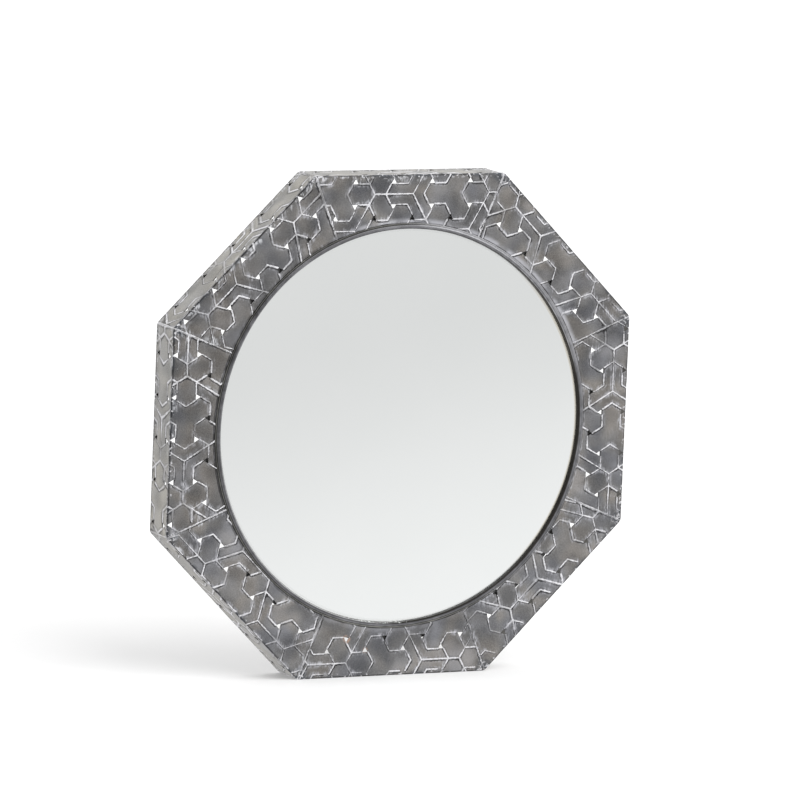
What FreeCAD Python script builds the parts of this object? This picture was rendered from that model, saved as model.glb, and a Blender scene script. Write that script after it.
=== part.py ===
import FreeCAD, Part
import math
import os

import Sketcher

# Octagonal mirror: a box frame of pressed and pierced zinc sheet around a round glass.
# Row frame: +Z up, the glass looks along -Y, and the origin is under the middle of the frame.
# Lengths are in millimetres and angles in degrees.

SIZES = {
    # frame box
    "across_flats": 610.0,
    "frame_depth": 50.0,
    "sheet_thickness": 1.0,
    "corner_radius": 9.0,
    "seam_gap": 0.3,
    "hem_width": 7.5,
    # pierced pattern
    "pattern_pitch": 51.0,
    "hole_side": 7.5,
    "hole_margin": 0.4,
    "wall_row_depth": 27.0,
    # ring around the glass
    "rim_width": 65.5,
    "sleeve_thickness": 1.2,
    "lip_width": 7.0,
    "lip_height": 2.5,
    "lip_round": 1.1,
    "ring_clearance": 0.5,
    # glass and its backing
    "glass_lap": 6.0,
    "glass_thickness": 3.0,
    "backing_lap": 24.5,
    "backing_thickness": 3.0,
    # clips that hold the backing
    "clip_gap": 1.5,
    "clip_thickness": 1.0,
    "clip_width": 12.0,
    "clip_foot": 14.0,
    "clip_finger": 12.0,
    "clip_shift": 5.0,
    # straps soldered behind the front seams
    "strap_width": 8.0,
    "strap_thickness": 1.0,
    "strap_inset": 3.0,
    "strap_end_gap": 1.5,
    "strap_clearance": 0.5,
    # gussets soldered inside the rear hem
    "gusset_height": 14.0,
    "gusset_nose": 2.0,
    "gusset_gap": 1.0,
    "gusset_thickness": 1.0,
    # hangers riveted to the rear hem
    "hanger_rise": 64.5,
    "bracket_height": 17.0,
    "bracket_thickness": 1.5,
    "bracket_gap": 0.3,
    "bracket_shoulder": 2.5,
    "neck_width": 8.0,
    "neck_height": 14.0,
    "eye_wall": 1.2,
    "eye_sink": 0.8,
    "wire_radius": 1.25,
    "wire_clearance": 0.05,
    "loop_radius": 11.0,
    "loop_gap": 1.0,
    "rivet_radius": 1.5,
    "rivet_clearance": 0.05,
    "rivet_spacing": 9.0,
    "rivet_head_radius": 2.6,
    "rivet_head_height": 1.0,
    "rivet_tail_radius": 2.4,
    "rivet_tail_height": 0.9,
}
SIDE_COUNT = 8
RIVET_COUNT = 2
HEAD_TOP_SHARE = 0.6
HEAD_EDGE_SHARE = 0.4

# Each side's name and the angle of its outward normal, anticlockwise from +X in the front view
SIDE_ANGLES = {
    "top": 90, "upper_right": 45, "right": 0, "lower_right": -45,
    "bottom": -90, "lower_left": -135, "left": 180, "upper_left": 135,
}
# Where the first plain tile lies on each front plate, as shares of the pattern pitch:
# along the plate from its middle, and outward from its fold
PLATE_TILE_SHARES = {
    "top": (1.08, -0.457), "upper_right": (0.327, -0.357), "right": (0.327, -0.384),
    "lower_right": (-1.002, -0.606), "bottom": (0.214, -0.343), "lower_left": (0.314, -0.271),
    "left": (0.341, -0.382), "upper_left": (0.335, -0.398),
}
# One plate was cut from the sheet the other way up
TURNED_PLATES = {"lower_right"}
# The same along each side wall, whose single tile row lies at wall_row_depth behind the fold
WALL_TILE_SHARES = {
    "top": 1.43, "upper_right": 1.30, "right": 1.50, "lower_right": 1.35,
    "bottom": 1.45, "lower_left": 1.40, "left": 1.29, "upper_left": 1.59,
}

doc = FreeCAD.newDocument("octagonal_mirror")
sheet = doc.addObject("Spreadsheet::Sheet", "Sizes")
for row, (alias, size) in enumerate(SIZES.items(), start=1):
    sheet.set(f"A{row}", alias)
    sheet.set(f"B{row}", str(size))
    sheet.setAlias(f"B{row}", alias)
doc.recompute()
pieces = []


def cell(alias):
    """The expression that reads one size from the sheet."""
    return f"Sizes.{alias}"


def value(expression):
    """The number that an expression gives with the sheet's present sizes."""
    return float(sheet.evalExpression(expression))


# Sizes that follow from the driving ones, as expressions
HALF_TURN = f"(180 / {SIDE_COUNT})"
APOTHEM = f"({cell('across_flats')} / 2)"
FRONT_Y = f"(({cell('lip_height')} - {cell('frame_depth')} - {cell('rivet_head_height')}) / 2)"
PLATE_BACK_Y = f"({FRONT_Y} + {cell('sheet_thickness')})"
REAR_Y = f"({FRONT_Y} + {cell('frame_depth')})"
HEM_FRONT_Y = f"({REAR_Y} - {cell('sheet_thickness')})"
SIGHT_RADIUS = f"({APOTHEM} - {cell('rim_width')})"
LIP_RADIUS = f"({SIGHT_RADIUS} + {cell('lip_width')})"
SLEEVE_RADIUS = f"({SIGHT_RADIUS} + {cell('sleeve_thickness')})"
PLATE_BORE = f"({SLEEVE_RADIUS} + {cell('ring_clearance')})"
GLASS_RADIUS = f"({SIGHT_RADIUS} + {cell('glass_lap')})"
BACKING_RADIUS = f"({SIGHT_RADIUS} + {cell('backing_lap')})"
SLEEVE_DEPTH = f"({cell('sheet_thickness')} + {cell('strap_thickness')} + {cell('strap_clearance')})"
GLASS_FRONT_Y = f"({FRONT_Y} + {SLEEVE_DEPTH})"
GLASS_BACK_Y = f"({GLASS_FRONT_Y} + {cell('glass_thickness')})"
BACKING_BACK_Y = f"({GLASS_BACK_Y} + {cell('backing_thickness')})"
WALL_INSIDE = f"({APOTHEM} - {cell('sheet_thickness')})"
ROUND_CENTRE_U = f"(({APOTHEM} - {cell('corner_radius')}) * tan({HALF_TURN}))"
ROUND_CENTRE_W = f"({APOTHEM} - {cell('corner_radius')})"
RIVET_X = f"({WALL_INSIDE} - ({cell('hem_width')} - {cell('sheet_thickness')}) / 2)"
LOOP_X = (f"({APOTHEM} - {cell('hem_width')} - {cell('loop_gap')} - {cell('wire_radius')}"
          f" - {cell('loop_radius')})")
BRACKET_Y = f"({HEM_FRONT_Y} - {cell('bracket_thickness')} / 2)"
BRACKET_Z = f"({APOTHEM} + {cell('hanger_rise')})"
EYE_BORE = f"({cell('wire_radius')} + {cell('wire_clearance')})"
EYE_RADIUS = f"({EYE_BORE} + {cell('eye_wall')})"
EYE_DROP = (f"({cell('bracket_height')} / 2 + {cell('neck_height')}"
            f" + {EYE_RADIUS} - {cell('eye_sink')})")


def minus(expression):
    return f"(-{expression})"


def origin_feature(body, role):
    return next(item for item in body.Origin.OriginFeatures if item.Role == role)


def new_body(label, base, turn=0.0):
    """A body whose local X and Y lie in the front view, turned anticlockwise, and Z looks forward."""
    body = doc.addObject("PartDesign::Body", label)
    body.Label = label
    stand_up = FreeCAD.Rotation(FreeCAD.Vector(1, 0, 0), 90)
    swing = FreeCAD.Rotation(FreeCAD.Vector(0, -1, 0), turn)
    body.Placement = FreeCAD.Placement(FreeCAD.Vector(), swing * stand_up)
    for axis, expression in zip("xyz", base):
        body.setExpression(f"Placement.Base.{axis}", expression)
    pieces.append(body)
    return body


def new_sketch(body, name, role):
    sketch = body.newObject("Sketcher::SketchObject", name)
    sketch.AttachmentSupport = (origin_feature(body, role), [""])
    sketch.MapMode = "FlatFace"
    return sketch


def bind_point(sketch, geometry, position, x, y):
    """Hold one point of a sketch at two expressions, or on an axis where one is zero."""
    for kind, axis, expression in (("DistanceX", -2, x), ("DistanceY", -1, y)):
        if expression == "0":
            sketch.addConstraint(Sketcher.Constraint("PointOnObject", geometry, position, axis))
            continue
        index = sketch.addConstraint(
            Sketcher.Constraint(kind, -1, 1, geometry, position, value(expression)))
        sketch.setExpression(f"Constraints[{index}]", expression)


def draw_outline(body, name, role, corners, arcs=None):
    """A closed outline through corners; arcs maps an edge's number to its radius, centre and sense."""
    arcs = arcs or {}
    sketch = new_sketch(body, name, role)
    points = [FreeCAD.Vector(value(x), value(y), 0) for x, y in corners]
    starts = []
    ends = []
    for number, start in enumerate(points):
        end = points[(number + 1) % len(points)]
        if number not in arcs:
            sketch.addGeometry(Part.LineSegment(start, end))
            starts.append(1)
            ends.append(2)
            continue
        radius, centre_x, centre_y, sense = arcs[number]
        centre = FreeCAD.Vector(value(centre_x), value(centre_y), 0)
        angles = [math.atan2(point.y - centre.y, point.x - centre.x) for point in (start, end)]
        if sense < 0:
            angles.reverse()
        circle = Part.Circle(centre, FreeCAD.Vector(0, 0, 1), value(radius))
        sketch.addGeometry(Part.ArcOfCircle(circle, *angles))
        starts.append(1 if sense > 0 else 2)
        ends.append(2 if sense > 0 else 1)
    for number in range(len(points)):
        following = (number + 1) % len(points)
        sketch.addConstraint(
            Sketcher.Constraint("Coincident", number, ends[number], following, starts[following]))
    for number, (x, y) in enumerate(corners):
        bind_point(sketch, number, starts[number], x, y)
    for number, (radius, _, _, _) in arcs.items():
        index = sketch.addConstraint(Sketcher.Constraint("Radius", number, value(radius)))
        sketch.setExpression(f"Constraints[{index}]", radius)
    return sketch


def draw_circle(body, name, role, x, y, radius):
    sketch = new_sketch(body, name, role)
    centre = FreeCAD.Vector(value(x), value(y), 0)
    sketch.addGeometry(Part.Circle(centre, FreeCAD.Vector(0, 0, 1), value(radius)))
    bind_point(sketch, 0, 3, x, y)
    index = sketch.addConstraint(Sketcher.Constraint("Radius", 0, value(radius)))
    sketch.setExpression(f"Constraints[{index}]", radius)
    return sketch


def pad(body, sketch, length, reverse=False, symmetric=False):
    feature = body.newObject("PartDesign::Pad", f"{sketch.Name}_pad")
    feature.Profile = sketch
    feature.setExpression("Length", length)
    feature.Reversed = reverse
    feature.SideType = "Symmetric" if symmetric else "One side"
    return feature


def pierce(body, sketch):
    """Cut a sketch right through its body, both ways, and make sure that it cut something."""
    doc.recompute()
    before = body.Shape.Volume
    feature = body.newObject("PartDesign::Pocket", f"{sketch.Name}_cut")
    feature.Profile = sketch
    feature.Type = "ThroughAll"
    feature.SideType = "Symmetric"
    doc.recompute()
    if not body.Shape.Volume < before:
        raise RuntimeError(f"{feature.Name} cut nothing")
    return feature


def repeat_along(body, feature, sketch, axis, step, count):
    """Copy a feature count times along an axis of its sketch, step apart."""
    if count < 2:
        return
    pattern = body.newObject("PartDesign::LinearPattern", f"{feature.Name}_row")
    pattern.Originals = [feature]
    pattern.Direction = (sketch, [axis])
    pattern.Occurrences = count
    pattern.setExpression("Length", f"{step} * {count - 1}")
    body.Tip = pattern


def repeat_around(body, feature, count):
    pattern = body.newObject("PartDesign::PolarPattern", f"{feature.Name}_ring")
    pattern.Originals = [feature]
    pattern.Axis = (origin_feature(body, "Z_Axis"), [""])
    pattern.Angle = 360
    pattern.Occurrences = count
    body.Tip = pattern


def on_mitre(distance):
    """The point on the right-hand mitre's near side, half a seam gap off it, at a distance along it."""
    u = f"({distance} * sin({HALF_TURN}) - {cell('seam_gap')} / 2 * cos({HALF_TURN}))"
    w = f"({distance} * cos({HALF_TURN}) + {cell('seam_gap')} / 2 * sin({HALF_TURN}))"
    return u, w


def from_arc(radius, centre_distance="0"):
    """How far along the mitre's near side an arc about a point of the mitre crosses it."""
    return f"({centre_distance} + sqrt({radius} ^ 2 - ({cell('seam_gap')} / 2) ^ 2))"


def mirrored(points):
    return [(minus(u), w) for u, w in reversed(points)]


ROUND_DISTANCE = f"({ROUND_CENTRE_W} / cos({HALF_TURN}))"
OUTER_ROUND = cell("corner_radius")
INNER_ROUND = f"({cell('corner_radius')} - {cell('sheet_thickness')})"


def outer_edge():
    """The rounded outer edge of one side, from its left mitre to its right one."""
    half = [(ROUND_CENTRE_U, APOTHEM), on_mitre(from_arc(OUTER_ROUND, ROUND_DISTANCE))]
    return mirrored(half) + half


def outer_arcs():
    return {0: (OUTER_ROUND, minus(ROUND_CENTRE_U), ROUND_CENTRE_W, -1),
            2: (OUTER_ROUND, ROUND_CENTRE_U, ROUND_CENTRE_W, -1)}


def hole_rows(inside, tile_u, tile_w, turned):
    """The rows of whole triangular holes inside a region: (first centre u, centre w, way, count).

    The tiles form a triangular lattice. Holes of one way lie a third of the lattice's height
    beyond the tiles' centres, and those of the other way as far on the near side.
    """
    pitch = value(cell("pattern_pitch"))
    side = value(cell("hole_side"))
    row_share = math.sqrt(3) / 2
    hole_share = 1 / math.sqrt(12)
    sense = -1 if turned else 1
    reach = math.ceil(value(cell("across_flats")) / pitch)
    rows = []
    for line in range(-reach, reach + 1):
        for way in (1, -1):
            w_share = sense * (line * row_share + way * hole_share)
            w = tile_w + w_share * pitch
            point = sense * way
            base = -point * side * hole_share
            tips = [(-side / 2, base), (side / 2, base), (0, -2 * base)]
            kept = []
            for step in range(-reach, reach + 1):
                u_share = step + (line + 1) / 2
                u = tile_u + u_share * pitch
                if all(inside(u + tip_u, w + tip_w) for tip_u, tip_w in tips):
                    kept.append(u_share)
            if kept:
                rows.append((min(kept), w_share, point, len(kept)))
    return rows


def pierce_rows(body, rows, role, tile_u, tile_w):
    """Cut rows of triangular holes; tile_u and tile_w are expressions for the first tile's centre."""
    pitch = cell("pattern_pitch")
    side = cell("hole_side")
    for number, (u_share, w_share, point, count) in enumerate(rows):
        u = f"({tile_u} + {u_share:.6f} * {pitch})"
        w = f"({tile_w} + {w_share:.6f} * {pitch})"
        base = f"({w} - {point} * {side} / sqrt(12))"
        corners = [(f"({u} - {side} / 2)", base), (f"({u} + {side} / 2)", base),
                   (u, f"({w} + {point} * {side} / sqrt(3))")]
        sketch = draw_outline(body, f"{body.Name}_holes_{number}", role, corners)
        cut = pierce(body, sketch)
        repeat_along(body, cut, sketch, "H_Axis", pitch, count)
        doc.recompute()


def front_plate(side):
    """One trapezoid of pressed sheet, mitred at both ends and cut round to the mirror's ring."""
    body = new_body(f"front_plate_{side}", ("0", PLATE_BACK_Y, APOTHEM), SIDE_ANGLES[side] - 90)
    inner = on_mitre(from_arc(PLATE_BORE))
    corners = outer_edge() + [inner, (minus(inner[0]), inner[1])]
    arcs = outer_arcs()
    arcs[4] = (PLATE_BORE, "0", "0", 1)
    outline = draw_outline(body, f"plate_outline_{side}", "XY_Plane", corners, arcs)
    pad(body, outline, cell("sheet_thickness"))

    tile_share_u, tile_share_w = PLATE_TILE_SHARES[side]
    tile_u = f"({tile_share_u} * {cell('pattern_pitch')})"
    tile_w = f"({APOTHEM} + {tile_share_w} * {cell('pattern_pitch')})"
    half_turn = math.pi / SIDE_COUNT
    margin = value(cell("hole_margin"))
    outer = value(APOTHEM) - margin
    mitre = value(cell("seam_gap")) / 2 + margin
    lip = value(LIP_RADIUS) + margin

    def inside(u, w):
        off_mitre = w * math.sin(half_turn) - abs(u) * math.cos(half_turn)
        return w < outer and off_mitre > mitre and math.hypot(u, w) > lip

    rows = hole_rows(inside, value(tile_u), value(tile_w), side in TURNED_PLATES)
    pierce_rows(body, rows, "XY_Plane", tile_u, tile_w)


def side_wall(side):
    """One strip of the same sheet behind a fold, with a narrow hem turned in at the rear."""
    body = new_body(f"side_wall_{side}", ("0", REAR_Y, APOTHEM), SIDE_ANGLES[side] - 90)
    half = [(ROUND_CENTRE_U, WALL_INSIDE), on_mitre(from_arc(INNER_ROUND, ROUND_DISTANCE))]
    corners = outer_edge() + list(reversed(mirrored(half) + half))
    arcs = outer_arcs()
    arcs[4] = (INNER_ROUND, ROUND_CENTRE_U, ROUND_CENTRE_W, 1)
    arcs[6] = (INNER_ROUND, minus(ROUND_CENTRE_U), ROUND_CENTRE_W, 1)
    strip = draw_outline(body, f"wall_outline_{side}", "XY_Plane", corners, arcs)
    pad(body, strip, f"{cell('frame_depth')} - {cell('sheet_thickness')}")

    hem_inside = f"({APOTHEM} - {cell('hem_width')})"
    hem_u = f"({hem_inside} * tan({HALF_TURN}) - {cell('seam_gap')} / 2 / cos({HALF_TURN}))"
    corners = outer_edge() + [(hem_u, hem_inside), (minus(hem_u), hem_inside)]
    hem = draw_outline(body, f"hem_outline_{side}", "XY_Plane", corners, outer_arcs())
    pad(body, hem, cell("sheet_thickness"))

    if side in ("left", "right"):
        up = 1 if side == "left" else -1
        rise = f"({up} * ({cell('hanger_rise')} - {cell('rivet_spacing')} / 2))"
        if up < 0:
            rise = f"({rise} - {cell('rivet_spacing')})"
        radius = f"({cell('rivet_radius')} + {cell('rivet_clearance')})"
        hole = draw_circle(body, f"wall_rivet_{side}", "XY_Plane", rise, RIVET_X, radius)
        cut = pierce(body, hole)
        repeat_along(body, cut, hole, "H_Axis", cell("rivet_spacing"), RIVET_COUNT)
        doc.recompute()

    # The wall's own face is the local XZ plane, whose sketch Y runs forward from the rear
    tile_u = f"({WALL_TILE_SHARES[side]} * {cell('pattern_pitch')})"
    tile_z = f"({cell('frame_depth')} - {cell('wall_row_depth')})"
    margin = value(cell("hole_margin"))
    straight = value(ROUND_CENTRE_U) - margin
    low = value(cell("sheet_thickness")) + margin
    high = value(cell("frame_depth")) - low

    def inside(u, z):
        return abs(u) < straight and low < z < high

    rows = hole_rows(inside, value(tile_u), value(tile_z), True)
    pierce_rows(body, rows, "XZ_Plane", tile_u, tile_z)


def mirror_ring():
    """The round rim: a rounded lip over the plates' inner edges and a sleeve back to the glass."""
    body = new_body("mirror_ring", ("0", FRONT_Y, APOTHEM))
    lip = cell("lip_height")
    curve = cell("lip_round")
    sleeve_end = minus(SLEEVE_DEPTH)
    corners = [
        (SIGHT_RADIUS, sleeve_end), (SLEEVE_RADIUS, sleeve_end), (SLEEVE_RADIUS, "0"), (LIP_RADIUS, "0"),
        (LIP_RADIUS, f"({lip} - {curve})"), (f"({LIP_RADIUS} - {curve})", lip),
        (f"({SIGHT_RADIUS} + {curve})", lip), (SIGHT_RADIUS, f"({lip} - {curve})"),
    ]
    arcs = {4: (curve, f"({LIP_RADIUS} - {curve})", f"({lip} - {curve})", 1),
            6: (curve, f"({SIGHT_RADIUS} + {curve})", f"({lip} - {curve})", 1)}
    section = draw_outline(body, "ring_section", "XZ_Plane", corners, arcs)
    turn = body.newObject("PartDesign::Revolution", "ring_turn")
    turn.Profile = section
    turn.ReferenceAxis = (section, ["V_Axis"])
    turn.Angle = 360


def disc(label, radius, front, thickness):
    """A plain round disc that faces forward, from its front face back."""
    body = new_body(label, ("0", front, APOTHEM))
    outline = draw_circle(body, f"{label}_outline", "XY_Plane", "0", "0", radius)
    pad(body, outline, thickness, reverse=True)


def retaining_clips():
    """Bent strips soldered behind the plates, clear of the holes, with a finger over the backing's edge."""
    riser = f"({BACKING_RADIUS} + {cell('clip_gap')})"
    turn = -math.degrees(math.atan2(value(cell("clip_shift")), value(riser)))
    body = new_body("retaining_clips", ("0", PLATE_BACK_Y, APOTHEM), turn)
    riser_out = f"({riser} + {cell('clip_thickness')})"
    foot_end = f"({riser_out} + {cell('clip_foot')})"
    finger_end = f"({riser} - {cell('clip_finger')})"
    foot_back = minus(cell("clip_thickness"))
    finger_front = f"({PLATE_BACK_Y} - {BACKING_BACK_Y})"
    finger_back = f"({finger_front} - {cell('clip_thickness')})"
    corners = [
        (foot_end, "0"), (riser, "0"), (riser, finger_front), (finger_end, finger_front),
        (finger_end, finger_back), (riser_out, finger_back), (riser_out, foot_back), (foot_end, foot_back),
    ]
    section = draw_outline(body, "clip_section", "YZ_Plane", corners)
    strip = pad(body, section, cell("clip_width"), symmetric=True)
    repeat_around(body, strip, SIDE_COUNT)


def seam_straps():
    """Flat strips soldered across the back of the front seams."""
    body = new_body("seam_straps", ("0", PLATE_BACK_Y, APOTHEM), 180 / SIDE_COUNT)
    half_width = f"({cell('strap_width')} / 2)"
    inner = f"({PLATE_BORE} + {cell('strap_inset')})"
    outer = (f"({WALL_INSIDE} / cos({HALF_TURN}) - {half_width} * tan({HALF_TURN})"
             f" - {cell('strap_end_gap')})")
    corners = [(minus(half_width), inner), (half_width, inner),
               (half_width, outer), (minus(half_width), outer)]
    outline = draw_outline(body, "strap_outline", "XY_Plane", corners)
    strip = pad(body, outline, cell("strap_thickness"), reverse=True)
    repeat_around(body, strip, SIDE_COUNT)


def corner_gussets():
    """Flat plates soldered across the hem's mitres, on its inside."""
    body = new_body("corner_gussets", ("0", HEM_FRONT_Y, APOTHEM), 180 / SIDE_COUNT)
    tip = f"({WALL_INSIDE} / cos({HALF_TURN}) - {cell('gusset_gap')})"
    half_base = f"({cell('gusset_height')} / tan({HALF_TURN}))"
    half_nose = f"({cell('gusset_nose')} / tan({HALF_TURN}))"
    low = f"({tip} - {cell('gusset_height')})"
    high = f"({tip} - {cell('gusset_nose')})"
    corners = [(minus(half_base), low), (half_base, low), (half_nose, high), (minus(half_nose), high)]
    outline = draw_outline(body, "gusset_outline", "XY_Plane", corners)
    plate = pad(body, outline, cell("gusset_thickness"))
    repeat_around(body, plate, SIDE_COUNT)


def stand_at(body, side):
    """Turn a hanger's body so that its local +X looks outward on that side of the frame."""
    if side == "left":
        half_turn = FreeCAD.Rotation(FreeCAD.Vector(0, 0, 1), 180)
        body.Placement.Rotation = half_turn * body.Placement.Rotation


def outward(side, x):
    return minus(x) if side == "left" else x


def hanger_bracket(side):
    """A plate riveted inside the hem, with a neck that ends in a round eye."""
    body = new_body(f"hanger_bracket_{side}", (outward(side, LOOP_X), BRACKET_Y, BRACKET_Z))
    stand_at(body, side)
    half_height = f"({cell('bracket_height')} / 2)"
    half_neck = f"({cell('neck_width')} / 2)"
    neck_end = f"({half_height} + {cell('neck_height')})"
    plate_in = minus(f"({half_neck} + {cell('bracket_shoulder')})")
    plate_out = f"({WALL_INSIDE} - {cell('bracket_gap')} - {LOOP_X})"
    corners = [
        (minus(half_neck), minus(neck_end)), (half_neck, minus(neck_end)),
        (half_neck, minus(half_height)), (plate_out, minus(half_height)), (plate_out, half_height),
        (plate_in, half_height), (plate_in, minus(half_height)), (minus(half_neck), minus(half_height)),
    ]
    plate = draw_outline(body, f"bracket_outline_{side}", "XY_Plane", corners)
    pad(body, plate, cell("bracket_thickness"), symmetric=True)
    eye = draw_circle(body, f"eye_outline_{side}", "YZ_Plane", minus(EYE_DROP), "0", EYE_RADIUS)
    pad(body, eye, cell("neck_width"), symmetric=True)
    bore = draw_circle(body, f"eye_bore_{side}", "YZ_Plane", minus(EYE_DROP), "0", EYE_BORE)
    pierce(body, bore)
    rivet_u = f"({RIVET_X} - {LOOP_X})"
    rivet_v = f"(-{cell('rivet_spacing')} / 2)"
    radius = f"({cell('rivet_radius')} + {cell('rivet_clearance')})"
    hole = draw_circle(body, f"bracket_rivet_{side}", "XY_Plane", rivet_u, rivet_v, radius)
    cut = pierce(body, hole)
    repeat_along(body, cut, hole, "V_Axis", cell("rivet_spacing"), RIVET_COUNT)


def hanger_rivets(side):
    """The rivets of one hanger: heads behind the hem, tails set against the bracket."""
    base_z = f"({BRACKET_Z} - {cell('rivet_spacing')} / 2)"
    body = new_body(f"hanger_rivets_{side}", (outward(side, RIVET_X), REAR_Y, base_z))
    head = cell("rivet_head_height")
    grip = f"({cell('sheet_thickness')} + {cell('bracket_thickness')})"
    tail_end = f"({grip} + {cell('rivet_tail_height')})"
    corners = [
        ("0", minus(head)), (f"({cell('rivet_head_radius')} * {HEAD_TOP_SHARE})", minus(head)),
        (cell("rivet_head_radius"), f"(-{head} * {HEAD_EDGE_SHARE})"), (cell("rivet_head_radius"), "0"),
        (cell("rivet_radius"), "0"), (cell("rivet_radius"), grip), (cell("rivet_tail_radius"), grip),
        (cell("rivet_tail_radius"), tail_end), ("0", tail_end),
    ]
    section = draw_outline(body, f"rivet_section_{side}", "XZ_Plane", corners)
    turn = body.newObject("PartDesign::Revolution", f"rivet_turn_{side}")
    turn.Profile = section
    turn.ReferenceAxis = (section, ["V_Axis"])
    turn.Angle = 360
    pattern = body.newObject("PartDesign::LinearPattern", f"rivet_row_{side}")
    pattern.Originals = [turn]
    pattern.Direction = (origin_feature(body, "Y_Axis"), [""])
    pattern.Occurrences = RIVET_COUNT
    pattern.setExpression("Length", f"{cell('rivet_spacing')} * {RIVET_COUNT - 1}")
    body.Tip = pattern


def hanger_loop(side):
    """A D-shaped wire loop that hangs in the bracket's eye: a straight bar and a half ring below it."""
    base = (outward(side, LOOP_X), BRACKET_Y, f"({BRACKET_Z} - {EYE_DROP})")
    body = new_body(f"hanger_loop_{side}", base)
    ring = body.newObject("PartDesign::AdditiveTorus", f"loop_bow_{side}")
    ring.setExpression("Radius1", cell("loop_radius"))
    ring.setExpression("Radius2", cell("wire_radius"))
    ring.Angle3 = 180
    ring.Placement.Rotation = FreeCAD.Rotation(FreeCAD.Vector(0, 0, 1), 180)
    bar = body.newObject("PartDesign::AdditiveCylinder", f"loop_bar_{side}")
    bar.setExpression("Radius", cell("wire_radius"))
    bar.setExpression("Height", f"2 * {cell('loop_radius')}")
    bar.Placement.Rotation = FreeCAD.Rotation(FreeCAD.Vector(0, 1, 0), 90)
    bar.setExpression("Placement.Base.x", minus(cell("loop_radius")))
    for end, name in ((-1, "near"), (1, "far")):
        knob = body.newObject("PartDesign::AdditiveSphere", f"loop_bend_{name}_{side}")
        knob.setExpression("Radius", cell("wire_radius"))
        knob.setExpression("Placement.Base.x", f"{end} * {cell('loop_radius')}")


for side_name in SIDE_ANGLES:
    front_plate(side_name)
    side_wall(side_name)
mirror_ring()
disc("mirror_glass", GLASS_RADIUS, GLASS_FRONT_Y, cell("glass_thickness"))
disc("backing_board", BACKING_RADIUS, GLASS_BACK_Y, cell("backing_thickness"))
retaining_clips()
seam_straps()
corner_gussets()
for side_name in ("left", "right"):
    hanger_bracket(side_name)
    hanger_rivets(side_name)
    hanger_loop(side_name)
doc.recompute()

for item in doc.Objects:
    if {"Invalid", "Error"} & set(item.State):
        raise RuntimeError(f"{item.Name} failed: {item.State}")
for piece in pieces:
    if piece.Shape.isNull() or not piece.Shape.isValid():
        raise RuntimeError(f"{piece.Label} has no valid shape")

os.makedirs("parts", exist_ok=True)
for piece in pieces:
    piece.Shape.exportStep(os.path.join("parts", f"{piece.Label}.step"))
    print(f"{piece.Label}: {len(piece.Shape.Solids)} solids, {piece.Shape.Volume:.0f} cubic mm")
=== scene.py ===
"""Octagonal mirror: zinc sheets with raised lines and pierced triangles around a round glass."""
import math
from collections import namedtuple

import bpy
import numpy as np
from mathutils import Matrix, Vector, geometry, noise


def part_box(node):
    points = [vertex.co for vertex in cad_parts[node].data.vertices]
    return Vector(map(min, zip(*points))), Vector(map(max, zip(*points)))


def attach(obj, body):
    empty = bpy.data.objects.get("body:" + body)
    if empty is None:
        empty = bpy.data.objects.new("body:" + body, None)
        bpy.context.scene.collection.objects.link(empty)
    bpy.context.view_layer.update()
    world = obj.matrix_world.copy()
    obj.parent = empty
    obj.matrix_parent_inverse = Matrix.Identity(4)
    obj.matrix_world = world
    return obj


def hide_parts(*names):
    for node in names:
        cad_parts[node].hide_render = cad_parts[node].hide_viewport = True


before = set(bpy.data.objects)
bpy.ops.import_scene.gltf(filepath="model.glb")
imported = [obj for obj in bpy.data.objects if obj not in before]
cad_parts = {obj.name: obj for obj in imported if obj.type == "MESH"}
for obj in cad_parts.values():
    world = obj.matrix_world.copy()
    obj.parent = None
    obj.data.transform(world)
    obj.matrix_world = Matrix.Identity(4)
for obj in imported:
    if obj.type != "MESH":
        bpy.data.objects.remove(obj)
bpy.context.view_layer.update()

# Sizes of the part in millimetres, the flat ones read from the frame
MM = 0.001


def frame_length(start, end):
    """Length between two places in the frame, to a thousandth of a millimetre."""
    return round((end - start) / MM, 3)


plate_low, plate_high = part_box("front_plate_top")
wall_low, wall_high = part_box("side_wall_top")
FRONT_Y = plate_low.y / MM
APOTHEM = frame_length(0.0, plate_high.z) / 2
FRAME_DEPTH = frame_length(plate_low.y, wall_high.y)
SHEET = frame_length(plate_low.y, plate_high.y)
HEM_WIDTH = frame_length(wall_low.z, wall_high.z)
CORNER_RADIUS = 9.0
SEAM_GAP = 0.3
PITCH = 51.0
HOLE_SIDE = 7.5
HOLE_MARGIN = 0.4
WALL_ROW_DEPTH = 27.0
SIGHT_RADIUS = 239.5
PLATE_BORE = 241.2
LIP_RADIUS = 246.5
LIP_HEIGHT = 2.5
FOLD = 1.6
REAR_Y = FRONT_Y + FRAME_DEPTH
CENTRE_Z = APOTHEM
HEM_EDGE = APOTHEM - HEM_WIDTH

# Half the turn from one side to the next, where a side's rounded ends begin, and a wall's half length
HALF_TURN = math.pi / 8
ROUND_U = (APOTHEM - CORNER_RADIUS) * math.tan(HALF_TURN)
ROUND_W = APOTHEM - CORNER_RADIUS
WALL_HALF = ROUND_U + CORNER_RADIUS * HALF_TURN - SEAM_GAP / 2

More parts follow.
